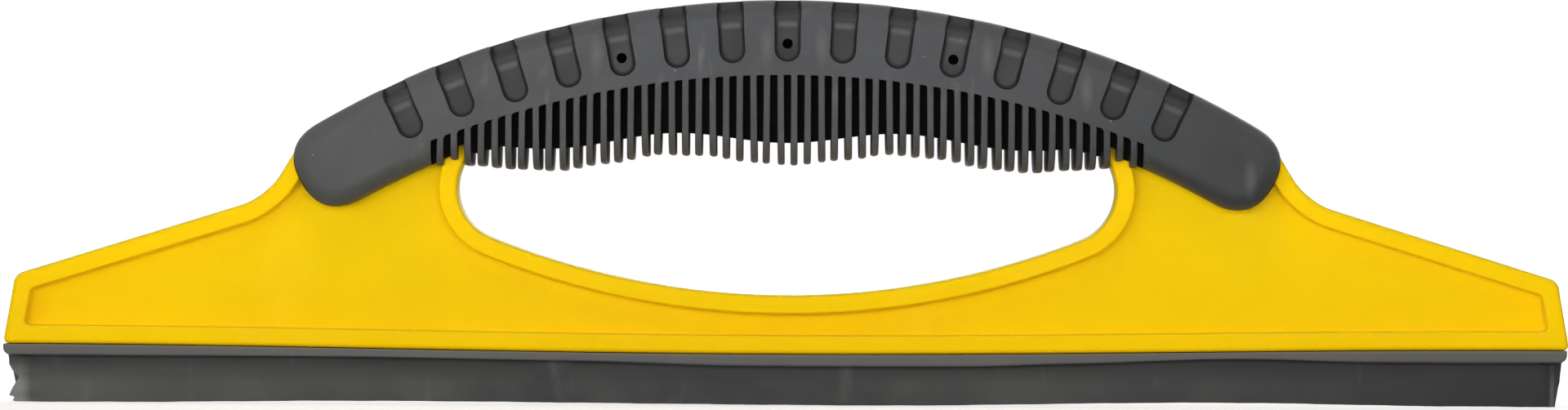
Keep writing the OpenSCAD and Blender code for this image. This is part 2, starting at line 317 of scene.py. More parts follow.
def body_outline(depth, inset):
    """The frame's outline in the plane y = depth, drawn in by inset."""
    end_z = FRAME_LOW + CROWN
    heel_z = LOBE_Z + HEEL_RISE
    side = [(HALF_LEN, end_z, END_LOW_R),
            (HALF_LEN - END_LEAN, end_z + END_H, END_TOP_R),
            (LOBE_X + FOOT_OUT, LOBE_Z - FOOT_DROP, FOOT_R),
            (LOBE_X + GRIP_W / 2 + HEEL_PROUD, heel_z, HEEL_R),
            (CORE_FOOT_X, heel_z, 0)]
    corners = side + [(-x, z, r) for x, z, r in reversed(side)]
    bm = bmesh.new()
    face = bm.faces.new([bm.verts.new((x, depth, z)) for x, z, r in corners])
    for vert in cut_edge(bm, face, (HALF_LEN, end_z), (-HALF_LEN, end_z), 39):
        vert.co.z = FRAME_LOW + bow(vert.co.x)
    for vert in cut_edge(bm, face, (CORE_FOOT_X, heel_z), (-CORE_FOOT_X, heel_z), 47):
        vert.co.z = ARCH_Z + math.sqrt(CORE_R ** 2 - vert.co.x ** 2)
    if inset:
        band = bmesh.ops.inset_region(bm, faces=[face], use_even_offset=True, use_boundary=True,
                                      thickness=inset)
        bmesh.ops.delete(bm, geom=band["faces"], context="FACES")
    for x, z, r in corners:
        if r:
            round_corner(bm, nearest(bm.verts, x, z), inset_radius(r, inset), 8)
    bmesh.ops.delete(bm, geom=bm.faces[:], context="FACES_ONLY")
    return bm


def opening_outline(depth, grow):
    """The hand opening's outline, drawn as four arcs that run into each other."""
    corner_x = OPEN_W / 2 - OPEN_CORNER_R
    low_z = FRAME_LOW + OPEN_SILL + OPEN_LOW_R
    low_to_corner = OPEN_LOW_R - OPEN_CORNER_R
    corner_z = low_z - math.sqrt(low_to_corner ** 2 - corner_x ** 2)
    top_to_corner = (corner_x ** 2 + OPEN_RISE ** 2) / (2 * OPEN_RISE)
    top_z = corner_z + OPEN_RISE - top_to_corner
    low_half = math.asin(corner_x / low_to_corner)
    top_half = math.asin(corner_x / top_to_corner)
    corner_turn = math.pi - low_half - top_half
    arcs = [((0, low_z), 2 * low_half, 40), ((corner_x, corner_z), corner_turn, 20),
            ((0, top_z), 2 * top_half, 40), ((-corner_x, corner_z), corner_turn, 20)]
    radius = OPEN_LOW_R + grow
    bm = bmesh.new()
    geom = [bm.verts.new((-radius * math.sin(low_half), depth, low_z - radius * math.cos(low_half)))]
    for (x, z), turn, steps in arcs:
        arc = bmesh.ops.spin(bm, geom=geom, cent=(x, depth, z), axis=(0, 1, 0), angle=-turn, steps=steps)
        geom = [g for g in arc["geom_last"] if isinstance(g, bmesh.types.BMVert)]
    bmesh.ops.remove_doubles(bm, verts=bm.verts, dist=0.05)
    bmesh.ops.scale(bm, vec=(OPEN_SPREAD, 1, 1), verts=bm.verts)
    return bm


def tagged(bm, tag):
    layer = bm.edges.layers.int["loop"]
    return [e for e in bm.edges if e[layer] == tag]


def half_path(edges, side):
    """The points of a closed outline on one side of the middle, from the bottom to the top."""
    edges = {e for e in edges if side * (e.verts[0].co.x + e.verts[1].co.x) > 0}
    path = [min((v for e in edges for v in e.verts if abs(v.co.x) < 0.01), key=lambda v: v.co.z)]
    while edges:
        step = next(e for e in path[-1].link_edges if e in edges)
        edges.remove(step)
        path.append(step.other_vert(path[-1]))
    return path


def whole_path(bm, tag):
    """The points of a closed outline in order, from the bottom up the right side and down the left."""
    edges = tagged(bm, tag)
    return half_path(edges, 1) + half_path(edges, -1)[-2:0:-1]


def join_loops(bm, tag):
    """Faces between two outlines that follow each other point by point."""
    near, far = whole_path(bm, tag), whole_path(bm, tag + 1)
    for i in range(len(near)):
        bm.faces.new((near[i - 1], near[i], far[i], far[i - 1]))


def draw_loops(bm, first, outline):
    """Draws an outline at each loop's depth and inset, with faces from each loop to the next."""
    for i, (depth, inset) in enumerate(LOOPS):
        known = len(bm.edges)
        take_in(bm, outline(depth, inset))
        bm.edges.ensure_lookup_table()
        layer = bm.edges.layers.int["loop"]
        for edge in bm.edges[known:]:
            edge[layer] = first + i
    for i in range(len(LOOPS) - 1):
        join_loops(bm, first + i)


def mark_frame(bm):
    """Tells the finish where to paint shade on the web and among the fins, and light on walls and edges."""
    for name in ("painted_light", "painted_web_shade"):
        bm.faces.layers.float.new(name)
    painted_light, painted_web_shade = (bm.faces.layers.float[name] for name in ("painted_light", "painted_web_shade"))
    for face in bm.faces:
        depth = face.calc_center_median().y
        flatness = abs(face.normal.y)
        if depth > WEB_FACE_Y - 0.02:
            # Painted shade: the flat web is painted darker than the rim
            face[painted_web_shade] = 1 if flatness > 0.9 else 0
        elif flatness < 0.98:
            in_recess = depth > RIM_FACE_Y + 0.7
            # Painted light on the recess walls, and a painted highlight on outer edges that face up
            face[painted_light] = 1 - flatness if in_recess else max(0, 0.65 * face.normal.z)
    # Painted shade on what lies among the fins
    painted_fin_shade = bm.verts.layers.float.new("painted_fin_shade")
    for vert in bm.verts:
        if abs(vert.co.x) < COMB_HALF:
            vert[painted_fin_shade] = min(1, max(0, (vert.co.z - FIN_DARK_LOW) / FIN_DARK_H))


def make_frame(material):
    """The front half, drawn as loops that are joined and softened, and its mirror image."""
    bm = bmesh.new()
    bm.edges.layers.int.new("loop")
    draw_loops(bm, BODY_TAG, body_outline)
    draw_loops(bm, OPEN_TAG, opening_outline)
    last = len(LOOPS) - 1
    for side in (-1, 1):
        outer = half_path(tagged(bm, BODY_TAG + last), side)
        inner = half_path(tagged(bm, OPEN_TAG + last), side)
        bm.faces.new(outer + inner[::-1])
    bmesh.ops.recalc_face_normals(bm, faces=bm.faces)
    for first, edge_r in ((BODY_TAG, BODY_EDGE_R), (OPEN_TAG, OPEN_EDGE_R)):
        for i, radius in enumerate((edge_r, RECESS_EDGE_R, RECESS_FILLET_R)):
            soften(bm, tagged(bm, first + 1 + i), radius, 4)
    bm.normal_update()
    mark_frame(bm)
    bmesh.ops.mirror(bm, geom=all_geometry(bm), matrix=Matrix.Identity(4), merge_dist=0.001, axis="Y")
    bmesh.ops.remove_doubles(bm, verts=bm.verts, dist=0.001)
    bmesh.ops.recalc_face_normals(bm, faces=bm.faces)
    return finish_piece(bm, "frame_moulding", "frame", "handle", material)


# The grip

# Pockets are counted from the middle one, which is 0
LAST_POCKET = 7
LONG_POCKETS = range(2 - LAST_POCKET, LAST_POCKET - 1)
OUTER_POCKETS = (-LAST_POCKET, 1 - LAST_POCKET, LAST_POCKET - 1, LAST_POCKET)
PIN_HOLE_POCKETS = (-3, 0, 3)
# Half the distance between the floors of two holes that lie back to back, which cover the web as painted
# shade
HOLE_FLOOR = 1.4
CUT_PAST = 2.0
POCKET_BEND_SOFT = 1.4
POCKET_FLOOR_INSET = 1.1
EDGE_SOFT = 0.25
# Inset from the pocket's wall and rise from the step before, for the fillet round its floor
POCKET_FILLET = [(0.75, 0.06), (0.48, 0.18), (0.3, 0.36)]
POCKET_FLARE = 0.25
POCKET_ROUNDNESS = 0.97
SPINE_DRAFT = 0.4
# How the bar's ends differ from half rounds: shares of its angle, its width and its end's length
NARROW_FROM = 0.75
END_NARROWING = 0.035
END_LENGTHENING = 0.03
END_SQUARENESS = 2.5
COMB_CUT_LOW = 30.0
# How far the fins and the skin behind them reach into the bar
BAR_OVERLAP = 0.8
SKIN_HALF = 68.0
# Where the frame's rim goes up through the skin
RIM_REACH = 61.7
RIM_INSIDE = RIM_REACH - 1
RIM_OUTSIDE = RIM_REACH + 1.6
SKIN_OVER_RIM = 2.8
SKIN_FALL_FROM = 55.0
SKIN_FALL = 0.35
SKIN_LIFT = 0.1
FIN_FACE_GAP = 0.02
FIN_EDGE_SOFT = 0.3
FIN_TIP_R = 0.62
FIN_TIP_FLAT = 0.1
FIN_ROOT_R = 0.22
OUTER_FIN_DROP = 0.8
TIP_UNEVENNESS = 0.28
FIN_LEAN = 0.32


def on_arch(angle, radius):
    turned = Matrix.Translation((0, 0, ARCH_Z)) @ Matrix.Rotation(angle, 4, "Y")
    return turned @ Matrix.Translation((0, 0, radius))


def blunt_ends(bm):
    """Narrows the bar a little towards its ends and squares their rounds off a little."""
    for vert in bm.verts:
        side = math.copysign(1, vert.co.x)
        from_centre = Vector((vert.co.x, vert.co.z - ARCH_Z))
        angle = math.atan2(abs(from_centre.x), from_centre.y)
        if angle < GRIP_ANGLE:
            near_end = max(0, angle / GRIP_ANGLE - NARROW_FROM) / (1 - NARROW_FROM)
            reach = MID_R + (from_centre.length - MID_R) * (1 - END_NARROWING * near_end)
            vert.co.x = from_centre.x * reach / from_centre.length
            vert.co.z = ARCH_Z + from_centre.y * reach / from_centre.length
        else:
            out = Vector((side * math.cos(GRIP_ANGLE), -math.sin(GRIP_ANGLE)))
            up = Vector((side * math.sin(GRIP_ANGLE), math.cos(GRIP_ANGLE)))
            offset = Vector((vert.co.x - side * LOBE_X, vert.co.z - LOBE_Z))
            u, v = offset.dot(out), offset.dot(up)
            turn = math.atan2(v, u)
            roundness = abs(math.cos(turn)) ** END_SQUARENESS + abs(math.sin(turn)) ** END_SQUARENESS
            square = roundness ** (-1 / END_SQUARENESS)
            place = out * u * square * (1 + END_LENGTHENING) + up * v * square * (1 - END_NARROWING)
            vert.co.x = side * LOBE_X + place.x
            vert.co.z = LOBE_Z + place.y


def grip_bar():
    """The arched bar: half of its section swept round the top, an end, the underside and the other end."""
    bm = bmesh.new()
    half_w, half_d = GRIP_W / 2, GRIP_DEPTH / 2
    section = [(0, -half_d), (half_w, -half_d), (half_w, half_d), (0, half_d)]
    verts = [bm.verts.new((0, y, s)) for s, y in section]
    bm.faces.new(verts)
    for vert in verts[1:3]:
        round_corner(bm, vert, GRIP_EDGE_R, 8)
    bmesh.ops.delete(bm, geom=bm.faces[:], context="FACES_ONLY")
    seam = [e for e in bm.edges if e.verts[0].co.z < 0.001 and e.verts[1].co.z < 0.001]
    bmesh.ops.delete(bm, geom=seam, context="EDGES")
    bmesh.ops.transform(bm, matrix=on_arch(-GRIP_ANGLE, MID_R), verts=bm.verts)
    geom = bm.verts[:] + bm.edges[:]
    sweeps = [((0, 0, ARCH_Z), 2 * GRIP_ANGLE, 96), ((LOBE_X, 0, LOBE_Z), math.pi, 28),
              ((0, 0, ARCH_Z), -2 * GRIP_ANGLE, 96), ((-LOBE_X, 0, LOBE_Z), math.pi, 28)]
    for centre, turn, steps in sweeps:
        swept = bmesh.ops.spin(bm, geom=geom, cent=centre, axis=(0, 1, 0), angle=turn, steps=steps)
        geom = swept["geom_last"]
    bmesh.ops.remove_doubles(bm, verts=bm.verts, dist=0.01)
    blunt_ends(bm)
    for side in (-1, 1):
        flat = [f for f in bm.faces if all(abs(v.co.y - side * half_d) < 0.001 for v in f.verts)]
        bmesh.ops.dissolve_faces(bm, faces=flat, use_verts=False)
    return bm


def comb_space(bm):
    """What is cut away below the tops of the slots."""
    low, high = COMB_CUT_LOW, slot_line(COMB_HALF)
    corners = [(-COMB_HALF, low), (COMB_HALF, low), (COMB_HALF, high), (-COMB_HALF, high)]
    face = bm.faces.new([bm.verts.new((x, -GRIP_DEPTH, z)) for x, z in corners])
    for vert in cut_edge(bm, face, corners[2], corners[3], 63):
        vert.co.z = slot_line(vert.co.x)
    pull(bm, [face], (0, 2 * GRIP_DEPTH, 0))


def draw_in(verts, round_z, share):
    """Draws a pocket's outline in towards its middle line and the centre of its round end."""
    for vert in verts:
        vert.co.x *= share
        if vert.co.z < round_z:
            vert.co.z = round_z + (vert.co.z - round_z) * share


def pocket_floor(length):
    """A pocket's round-ended floor, which bends back in a slope to the spine's face."""
    bm = bmesh.new()
    half = POCKET_W / 2
    spine_y = -SPINE_W / 2
    profile = ((POCKET_FLOOR_Y, -length), (POCKET_FLOOR_Y, -POCKET_BEND), (spine_y, -SPINE_H),
               (spine_y + SPINE_DRAFT, CUT_PAST))
    rows = [[bm.verts.new((x, y, z)) for x in (-half, half)] for y, z in profile]
    for a, b in zip(rows, rows[1:]):
        bm.faces.new((a[0], a[1], b[1], b[0]))
    for height, offset, segments in ((-POCKET_BEND, POCKET_BEND_SOFT, 8), (-SPINE_H, EDGE_SOFT, 2)):
        crease = [e for e in bm.edges if all(abs(v.co.z - height) < 0.01 for v in e.verts)]
        soften(bm, crease, offset, segments)
    for x in (-half, half):
        round_off(bm, nearest(bm.verts, x, -length), half * POCKET_ROUNDNESS, 8)
    return bm


def pocket_mesh(length):
    """What is cut away for one pocket of the front face: a fillet round the floor, then a draft out."""
    bm = pocket_floor(length)
    half = POCKET_W / 2
    round_z = half - length
    inset = POCKET_FLOOR_INSET
    draw_in(bm.verts, round_z, 1 - inset / half)
    front = bm.faces[:]
    for next_inset, rise in POCKET_FILLET + [(-POCKET_FLARE, CUT_PAST)]:
        rim = pull(bm, front, (0, -rise, 0))
        front = [f for f in bm.faces if all(v in rim for v in f.verts)]
        draw_in(rim, round_z, (half - next_inset) / (half - inset))
        inset = next_inset
    for vert in rim:
        vert.co.y = GRIP_FACE_Y - CUT_PAST
    clean(bm)
    mesh = to_mesh(bm, "pocket")
    bm.free()
    return mesh


def cut_pockets(bm):
    """Cuts the pockets of both faces and the space of the comb."""
    cutter = bmesh.new()
    comb_space(cutter)
    for length, indices in ((POCKET_LEN, LONG_POCKETS), (OUTER_POCKET_LEN, OUTER_POCKETS)):
        pocket = pocket_mesh(length)
        places = [on_arch(i * POCKET_PITCH, ARCH_R) for i in indices]
        add_copies(cutter, pocket, places)
        add_copies(cutter, pocket, [place @ Matrix.Rotation(math.pi, 4, "Z") for place in places])
        bpy.data.meshes.remove(pocket)
    carve(bm, cutter)


def cut_pin_holes(bm):
    holes = bmesh.new()
    depth = GRIP_DEPTH / 2
    for i in PIN_HOLE_POCKETS:
        for side in (-1, 1):
            place = on_arch(i * POCKET_PITCH, ARCH_R - PIN_HOLE_DROP)
            place = place @ Matrix.Translation((0, side * (depth / 2 + HOLE_FLOOR), 0))
            place = place @ Matrix.Rotation(math.pi / 2, 4, "X")
            bmesh.ops.create_cone(holes, cap_ends=True, segments=24, radius1=PIN_HOLE_R, radius2=PIN_HOLE_R,
                                  depth=depth, matrix=place)
    carve(bm, holes)


def soften_rims(bm):
    """Softens the edges of the pockets and holes."""
    bmesh.ops.remove_doubles(bm, verts=bm.verts, dist=0.01)
    rims = []
    for edge in bm.edges:
        mid = (edge.verts[0].co + edge.verts[1].co) / 2
        if len(edge.link_faces) == 2 and edge.calc_face_angle() > 0.6 and mid.z > slot_line(mid.x) + 0.6:
            rims.append(edge)
    soften(bm, rims, EDGE_SOFT, 2)


def skin_edge(x):
    """Lower edge of the rubber behind the slots, which goes up over the frame's rim."""
    reach = abs(x)
    if reach > RIM_OUTSIDE:
        return grip_underside(x) + SKIN_LIFT
    if reach > RIM_INSIDE:
        return slot_line(x) - SKIN_OVER_RIM
    return finger_wave(x) + FIN_DROP - SKIN_FALL * max(0, reach - SKIN_FALL_FROM)


def underside_skin(bm):
    """Rubber behind the slots, with the finger wave along its lower edge."""
    depth = RIM_DEPTH / 2 + 1
    low, high = skin_edge(SKIN_HALF), slot_line(SKIN_HALF) + BAR_OVERLAP
    corners = [(-SKIN_HALF, low), (SKIN_HALF, low), (SKIN_HALF, high), (-SKIN_HALF, high)]
    face = bm.faces.new([bm.verts.new((x, -depth, z)) for x, z in corners])
    for vert in cut_edge(bm, face, corners[0], corners[1], 135):
        vert.co.z = skin_edge(vert.co.x)
    for vert in cut_edge(bm, face, corners[2], corners[3], 31):
        vert.co.z = slot_line(vert.co.x) + BAR_OVERLAP
    pull(bm, [face], (0, 2 * depth, 0))


def fin_tip(x, index):
    """Height of a fin's tip, which beyond the hand opening ends just under the bar."""
    tip = finger_wave(x)
    if abs(x) > RIM_REACH:
        tip = max(tip, grip_underside(x) - OUTER_FIN_DROP)
    return tip + TIP_UNEVENNESS * ripple(7 * x, index)


def fin_plate(tip, top):
    """A plate across the grip with round lower corners and soft edges."""
    half = GRIP_DEPTH / 2 - FIN_FACE_GAP
    part = bmesh.new()
    corners = ((-half, tip), (half, tip), (half, top), (-half, top))
    verts = [part.verts.new((-FIN_T / 2, y, z)) for y, z in corners]
    part.faces.new(verts)
    for vert in verts[:2]:
        round_corner(part, vert, min(FIN_ROUND, (top - tip) * 0.6), 6)
    pull(part, part.faces[:], (FIN_T, 0, 0))
    bmesh.ops.recalc_face_normals(part, faces=part.faces)
    rim = [e for e in part.edges if abs(e.verts[0].co.x - e.verts[1].co.x) < 0.01
           and min(v.co.z for v in e.verts) < top - 0.01]
    soften(part, rim, FIN_EDGE_SOFT, 2)
    return part


def finger_fin(bm, x, index):
    """One fin: a plate with a round tip that leans a little, and that widens where the slots end."""
    tip = fin_tip(x, index)
    slot_top = slot_line(x)
    top = slot_top + BAR_OVERLAP
    part = fin_plate(tip, top)
    for share in (1, 0.5, 0.2, 0):
        level = (0, 0, slot_top - FIN_ROOT_R * share)
        bmesh.ops.bisect_plane(part, geom=all_geometry(part), plane_co=level, plane_no=(0, 0, 1))
    lean = FIN_LEAN * ripple(3 * x, index + 4)
    lit_below = part.verts.layers.float.new("lit_below")
    for vert in part.verts:
        over_tip = vert.co.z - tip
        if over_tip < FIN_TIP_R:
            reach = math.sqrt(FIN_TIP_R ** 2 - (FIN_TIP_R - over_tip) ** 2) if over_tip > 0 else 0
            widest = FIN_T / 2 - FIN_TIP_R + reach + FIN_TIP_FLAT
            vert.co.x = math.copysign(min(abs(vert.co.x), widest), vert.co.x)
        rise = min(FIN_ROOT_R, vert.co.z - slot_top + FIN_ROOT_R)
        if rise > 0:
            vert.co.x += math.copysign(FIN_ROOT_R - math.sqrt(FIN_ROOT_R ** 2 - rise ** 2), vert.co.x)
        drop = (top - vert.co.z) / (top - tip)
        vert[lit_below] = drop
        vert.co.x += x + lean * drop * drop
    clean(part)
    take_in(bm, part)


def pocket_place(point):
    """Depth below the arch and distance from the nearest pocket's middle line."""
    angle = math.atan2(point.x, point.z - ARCH_Z)
    radius = math.hypot(point.x, point.z - ARCH_Z)
    index = max(-LAST_POCKET, min(LAST_POCKET, round(angle / POCKET_PITCH)))
    from_middle = angle - index * POCKET_PITCH
    return ARCH_R - radius * math.cos(from_middle), radius * math.sin(from_middle)


def shade_pocket(depth, along, up):
    """How much painted shade and painted highlight a pocket's face gets: shade on walls and floor, highlight
    on the bend.
    """
    # Painted shade on floor and walls, and a painted highlight on the slope
    floor_dark, wall_dark, slope_highlight = 0.76, 0.7, 0.2
    bend_tilt, bend_spread = 0.38, 0.42
    at_end = depth > POCKET_LEN - POCKET_W / 2 - 1
    tilt = up / max(0.2, math.sqrt(1 - along ** 2))
    slope = tilt > 0.7 and not at_end
    bend = 0
    if depth > 2.2 and not at_end:
        bend = max(0, 1 - abs(tilt - bend_tilt) / bend_spread) * (1 - along)
    wall = min(1, max(along, up if at_end else 0) / 0.7)
    shade = 0 if slope else floor_dark * (1 - bend)
    return shade + (wall_dark - shade) * wall, slope_highlight if slope else bend


def shade_grip(bm):
    """Gives skin and holes the near-black rubber of painted shade, and says where shade and highlight are
    painted.
    """
    skin = bm.faces.layers.int["skin"]
    for name in ("shade", "painted_light"):
        bm.faces.layers.float.new(name)
    shade, painted_light = (bm.faces.layers.float[name] for name in ("shade", "painted_light"))
    for face in bm.faces:
        # Painted shade: the skin behind the slots gets the near-black rubber
        face.material_index = face[skin]
        centre = face.calc_center_median()
        depth, offset = pocket_place(centre)
        out = Vector((centre.x, 0, centre.z - ARCH_Z)).normalized()
        along = min(1, abs(face.normal.dot(Vector((out.z, 0, -out.x)))))
        up = face.normal.dot(out)
        in_comb = abs(centre.x) < COMB_HALF + 0.1 and centre.z < slot_line(centre.x) + BAR_OVERLAP + 0.1
        behind_floor = abs(centre.y) < -POCKET_FLOOR_Y - 0.1
        behind_face = abs(centre.y) < -GRIP_FACE_Y - 0.05
        in_pocket = 0.2 < depth < POCKET_LEN + 0.3 and abs(offset) < POCKET_W / 2 + 0.2
        if in_comb:
            # Painted shade on the sides of the fins
            face[shade] = 1 if abs(face.normal.x) > 0.5 and abs(face.normal.y) < 0.5 else 0
        elif behind_floor and POCKET_BEND + 1 < depth < POCKET_LEN:
            # Painted shade: the holes get the near-black rubber
            face.material_index = 1
        elif in_pocket and behind_face:
            face[shade], face[painted_light] = shade_pocket(depth, along, up)
        else:
            # Painted highlight on faces that face up
            face[painted_light] = 0.85 * max(0, up)


def light_ends(bm):
    """Tells the finish how far the bar's two ends face down, where light comes up from the floor."""
    bm.normal_update()
    lit_below = bm.verts.layers.float["lit_below"]
    for vert in bm.verts:
        if abs(vert.co.x) > COMB_HALF:
            vert[lit_below] = max(vert[lit_below], -vert.normal.z)


def make_grip(material, shade_material):
    bm = bmesh.new()
    underside_skin(bm)
    bm.verts.layers.float.new("lit_below")
    skin = bm.faces.layers.int.new("skin")
    for face in bm.faces:
        face[skin] = 1
    bar = grip_bar()
    cut_pockets(bar)
    cut_pin_holes(bar)
    soften_rims(bar)
    clean(bar)
    take_in(bm, bar)
    for i in range(FIN_COUNT):
        finger_fin(bm, (i - (FIN_COUNT - 1) / 2) * FIN_PITCH, i)
    bmesh.ops.recalc_face_normals(bm, faces=bm.faces)
    light_ends(bm)
    shade_grip(bm)
    grip = finish_piece(bm, "grip_overmould", "grip", "handle", material)
    grip.data.materials.append(shade_material)
    return grip


# The blade

STRIP_SHORT = 0.8
STRIP_SHIFT = -0.2
STRIP_END_SOFT = 1.5
STRIP_EDGE_SOFT = 0.7
MOUTH_RIM = 3.2
MOUTH_DEPTH = 2.1
MOUTH_TAPER = 0.4
# Rise of the strip's and the lip's lower edges at places along the blade
STRIP_WAVE = [(-150, 0.3), (-135, 0.3), (-72, 0.8), (-41, 0.76), (-8, 0.15), (37, 0.08), (53, 0.44),
              (84, 1.08), (118, 0.15), (131, 0.0), (150, 0.1)]
LIP_WAVE = [(-150, 0.0), (-133, 0.02), (-80, 0.45), (15, 0.0), (84, 0.85), (131, 0.35), (150, 0.3)]
# The lip's section at its edge and in full, and the heights that its mesh has points at
EDGE_HALF_T = 0.5
FULL_HALF_T = 1.1
FULL_T_Z = 8.5
LIP_HEIGHTS = [0, 0.2, 0.5, 0.9, 1.2, 1.9, 2.7, 3.7, 4.8, 5.4, 6, 6.9, 7.7, 8.6, 9.5]
LIP_TOP = LIP_HEIGHTS[-1]
# Below this the lip waves, and above it follows the strip's bow
LIP_SOFT_H = 6.0
# Where the lip's two ends lie at each height
TORN_END = [(0, -148.6), (0.2, -149.1), (0.9, -148.8), (1.2, -149.8), (2.7, -149.1), (4.8, -147.9),
            (5.4, -148.6), (6.9, -149.8), (9.5, -150.1)]
TORN_REACH = 4.5
DRAFTED_END = [(0, 148.3), (2, 148.5), (5.8, 149.2), (9.5, 149.7)]
DRAFT_REACH = 3.0
LEFT_THINNING = 0.75
RIGHT_THINNING = 0.9
LIP_NICKS = 0.04
LIP_SWAY = 0.3
TORN_CURL = 0.35


def strip_bar():
    """The straight strip: soft lower ends, and the lip's mouth along its underside."""
    bm = bmesh.new()
    bmesh.ops.create_cube(bm, size=1)
    bmesh.ops.scale(bm, vec=(2 * HALF_LEN - STRIP_SHORT, RIM_DEPTH, BASE_H), verts=bm.verts)
    bmesh.ops.translate(bm, vec=(STRIP_SHIFT, 0, LIP_H + BASE_H / 2), verts=bm.verts)
    ends = [e for e in bm.edges if all(v.co.z < LIP_H + 0.1 for v in e.verts)
            and abs(e.verts[0].co.x - e.verts[1].co.x) < 0.1]
    soften(bm, ends, STRIP_END_SOFT, 5)
    under = [f for f in bm.faces if f.normal.z < -0.9]
    bmesh.ops.inset_region(bm, faces=under, use_even_offset=True, thickness=MOUTH_RIM)
    for vert in pull(bm, under, (0, 0, MOUTH_DEPTH)):
        vert.co.y *= MOUTH_TAPER
    cut_across(bm, 47)
    return bm


def on_lower_edge(edge):
    """Whether an edge runs along the bottom of the strip's front or rear face."""
    a, b = edge.verts
    on_face = all(abs(abs(v.co.y) - RIM_DEPTH / 2) < 0.01 for v in edge.verts) and a.co.y * b.co.y > 0
    if not on_face or min(a.co.z, b.co.z) > LIP_H + STRIP_END_SOFT + 0.1:
        return False
    return len(edge.link_faces) == 2 and edge.calc_face_angle() > 0.8


def make_base(material):
    """The strip under the frame, bowed as the frame's edge is, with a soft and wavy lower edge."""
    bm = strip_bar()
    soften(bm, [e for e in bm.edges if on_lower_edge(e)], STRIP_EDGE_SOFT, 4)
    # Painted reflection of the yellow frame, growing towards the strip's top
    painted_frame_reflection = bm.verts.layers.float.new("painted_frame_reflection")
    for vert in bm.verts:
        up = (vert.co.z - LIP_H) / BASE_H
        vert[painted_frame_reflection] = up
        vert.co.z += bow(vert.co.x) + max(0, 1 - up) * along_points(STRIP_WAVE, vert.co.x)
    bmesh.ops.recalc_face_normals(bm, faces=bm.faces)
    return finish_piece(bm, "blade_strip", "blade_base", "handle", material)


def lip_half_thickness(z):
    return EDGE_HALF_T + (FULL_HALF_T - EDGE_HALF_T) * math.sin(math.pi / 2 * min(1, z / FULL_T_Z))


def lip_bar():
    """The lip's section drawn along the blade."""
    bm = bmesh.new()
    section = [(lip_half_thickness(z), z) for z in LIP_HEIGHTS]
    outline = section + [(-y, z) for y, z in reversed(section)]
    verts = [bm.verts.new((-LIP_HALF, y, z)) for y, z in outline]
    pull(bm, [bm.faces.new(verts)], (2 * LIP_HALF, 0, 0))
    cut_across(bm, 197)
    return bm


def wear_lip(bm):
    """Gives the lip a wavy edge, a thin torn left end, a thin drafted right end and the strip's bow."""
    for vert in bm.verts:
        x, z = vert.co.x, vert.co.z
        near_left = max(0, 1 - (x + LIP_HALF) / TORN_REACH)
        near_right = max(0, 1 - (LIP_HALF - x) / DRAFT_REACH)
        vert.co.x += near_left * (along_points(TORN_END, z) + LIP_HALF)
        vert.co.x += near_right * (along_points(DRAFTED_END, z) - LIP_HALF)
        low = max(0, 1 - z / LIP_SOFT_H)
        high = max(0, z - LIP_SOFT_H) / (LIP_TOP - LIP_SOFT_H)
        nicks = LIP_NICKS * (1 + ripple(0.9 * x, 1))
        vert.co.z += low * (along_points(LIP_WAVE, x) + nicks) + high * bow(x)
        vert.co.y *= 1 - LEFT_THINNING * near_left ** 2 - RIGHT_THINNING * near_right ** 3
        vert.co.y += LIP_SWAY * low * ripple(0.05 * x, 3) + TORN_CURL * near_left * math.sin(1.9 * z)


def make_lip(material):
    bm = lip_bar()
    wear_lip(bm)
    bmesh.ops.recalc_face_normals(bm, faces=bm.faces)
    lip = finish_piece(bm, "blade_lip_rubber", "blade_lip", None, material)
    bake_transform(lip, "handle", "lip", start=(0, 0, BEAD_Z * MM), end=(0, 0, 4 * MM))
    return lip


# Finishes, in metres and in shares of 1

GRAIN_DEPTH = 0.0002
SPOT_REACH = 0.0015
# Places of the small pale spots on the grip's face
PALE_SPOTS = [(-0.0366, 0.067), (-0.004, 0.0692), (0.0065, 0.069), (0.0382, 0.067), (0.0572, 0.0605),
                (0.0886, 0.0438)]


def add_node(tree, kind, values=(), **settings):
    made = tree.nodes.new(kind)
    for name, value in settings.items():
        setattr(made, name, value)
    for name, value in dict(values).items():
        made.inputs[name].default_value = value
    return made


def effect(name, output):
    """An empty node group with a place and a scale as its inputs and one value as its output."""
    tree = bpy.data.node_groups.new(name, "ShaderNodeTree")
    tree.interface.new_socket("Vector", in_out="INPUT", socket_type="NodeSocketVector")
    tree.interface.new_socket("Scale", in_out="INPUT", socket_type="NodeSocketFloat")
    tree.interface.new_socket(output, in_out="OUTPUT", socket_type="NodeSocketFloat")
    return tree, tree.nodes.new("NodeGroupInput"), tree.nodes.new("NodeGroupOutput")


def placed(tree, given, kind, values=()):
    """A texture with the place and the scale that its node group is given."""
    texture = add_node(tree, kind, values)
    for name in ("Vector", "Scale"):
        tree.links.new(given.outputs[name], texture.inputs[name])
    return texture


def blotches_effect():
    """Broad, soft differences of shade."""
    tree, given, out = effect("soft blotches", "Amount")
    noise = placed(tree, given, "ShaderNodeTexNoise", {"Detail": 3, "Roughness": 0.55})
    spread = add_node(tree, "ShaderNodeMapRange", {"From Min": 0.36, "From Max": 0.64})
    tree.links.new(noise.outputs["Fac"], spread.inputs["Value"])
    tree.links.new(spread.outputs["Result"], out.inputs["Amount"])
    return tree


